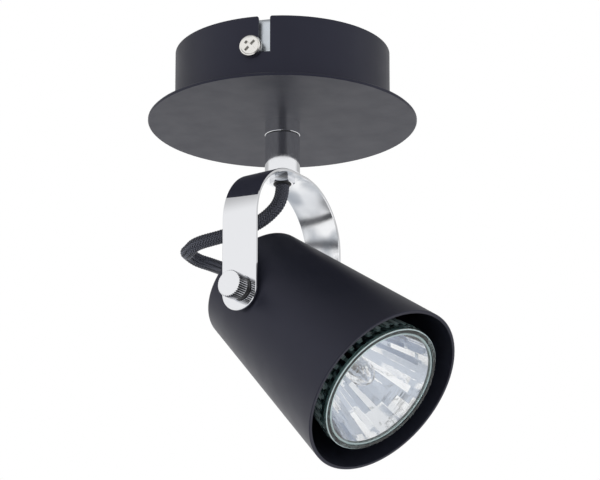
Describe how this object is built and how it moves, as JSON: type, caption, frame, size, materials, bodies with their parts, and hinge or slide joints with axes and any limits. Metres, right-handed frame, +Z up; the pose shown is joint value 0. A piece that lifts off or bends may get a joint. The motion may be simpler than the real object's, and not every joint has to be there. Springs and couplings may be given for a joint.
{
  "type": "surface mounted ceiling spotlight",
  "caption": "Ceiling spotlight: round twist-on canopy, chromed swivel stem and strap yoke, and a tapered black tilting head with a reflector lamp.",
  "frame": {"origin": "centre of the canopy's rim, in the plane of the ceiling", "axes": "+Z up into the ceiling; Y along the ceiling bracket, with one side screw at -Y and the other at +Y; at rest the head looks down and towards +X, 18.1 degrees round towards -Y"},
  "size_m": [0.1151, 0.1, 0.1628],
  "materials": {
    "zinc_steel": "bright zinc plated steel",
    "nickel_steel": "nickel plated steel",
    "brass": "plain brass",
    "black_paint": "satin black paint",
    "chrome": "polished chrome plate",
    "black_nylon": "moulded black nylon",
    "white_nylon": "moulded white nylon",
    "black_sheath": "black cable sheath",
    "black_braid": "black woven braid",
    "black_rubber": "moulded black rubber",
    "earth_insulation": "green and yellow insulation",
    "blue_insulation": "blue insulation",
    "brown_insulation": "brown insulation",
    "lead_insulation": "white glass fibre sleeve",
    "ceramic": "unglazed steatite",
    "reflector_glass": "pressed glass with a mirror coating inside",
    "clear_glass": "clear pressed glass",
    "quartz": "quartz glass"
  },
  "bodies": {
    "bracket": {"mounting_bracket": "zinc_steel", "canopy_screws": "nickel_steel", "earth_screw": "brass", "earth_washer": "brass"},
    "canopy": {"canopy_cup": "black_paint", "canopy_disc": "black_paint", "stem_collar": "chrome", "swivel_washer": "black_nylon", "spindle": "zinc_steel", "lock_washer": "zinc_steel", "earth_tag": "brass", "spindle_nut": "zinc_steel", "swivel_retainer": "zinc_steel", "cord_grip": "black_nylon", "grip_screw": "black_nylon", "canopy_cable": "black_sheath", "terminal_block": "white_nylon", "terminal_screws": "brass", "block_screw": "zinc_steel", "earth_core": "earth_insulation", "neutral_core": "blue_insulation", "live_core": "brown_insulation", "bonding_wire": "earth_insulation"},
    "yoke": {"stem_tube": "chrome", "stem_plug": "zinc_steel", "stop_pin": "zinc_steel", "yoke_strap": "chrome", "hollow_bolt": "chrome", "exit_liner": "black_nylon", "stem_cable": "black_sheath", "flex_cable": "black_braid"},
    "head": {"head_shell": "black_paint", "pivot_bosses": "zinc_steel", "pivot_washers": "black_nylon", "rear_grommet": "black_rubber", "lamp_holder": "ceramic", "holder_bridge": "zinc_steel", "bridge_screws": "zinc_steel", "head_cable": "black_sheath", "head_leads": "lead_insulation"},
    "lamp": {"lamp_reflector": "reflector_glass", "lamp_cover": "clear_glass", "lamp_capsule": "quartz", "lamp_base": "ceramic", "lamp_pins": "nickel_steel"},
    "right_washer": {"right_knob_washer": "black_nylon"},
    "right_screw": {"right_knob": "chrome"},
    "left_washer": {"left_knob_washer": "black_nylon"},
    "left_screw": {"left_knob": "chrome"}
  },
  "joints": [
    {"name": "canopy_twist", "type": "hinge", "parent": "bracket", "child": "canopy", "pos_m": [0, 0, -0.0118], "axis": [0, 0, 1], "range_deg": [-7, 0]},
    {"name": "stem_swivel", "type": "hinge", "parent": "canopy", "child": "yoke", "pos_m": [0, 0, -0.04], "axis": [0, 0, 1], "range_deg": [-160, 160]},
    {"name": "head_tilt", "type": "hinge", "parent": "yoke", "child": "head", "pos_m": [0, 0, -0.0987], "axis": [0.3107, 0.9505, 0], "range_deg": [-42, 48], "deforming": ["flex_cable"]},
    {"name": "lamp_twist", "type": "hinge", "parent": "head", "child": "lamp", "pos_m": [0, 0, -0.0987], "axis": [0.7064, -0.2309, -0.6691], "range_deg": [0, 20]},
    {"name": "right_screw_slide", "type": "slide", "parent": "head", "child": "right_washer", "axis": [-0.3107, -0.9505, 0], "range_m": [0, 0.0014]},
    {"name": "right_screw_turn", "type": "hinge", "parent": "right_washer", "child": "right_screw", "pos_m": [0, 0, -0.0987], "axis": [-0.3107, -0.9505, 0], "range_deg": [0, 720]},
    {"name": "left_screw_slide", "type": "slide", "parent": "head", "child": "left_washer", "axis": [0.3107, 0.9505, 0], "range_m": [0, 0.0014]},
    {"name": "left_screw_turn", "type": "hinge", "parent": "left_washer", "child": "left_screw", "pos_m": [0, 0, -0.0987], "axis": [0.3107, 0.9505, 0], "range_deg": [0, 720]}
  ],
  "couplings": [
    {"joint": "right_screw_turn", "follows": "right_screw_slide", "rad_per_m": 8976},
    {"joint": "left_screw_turn", "follows": "left_screw_slide", "rad_per_m": 8976}
  ]
}
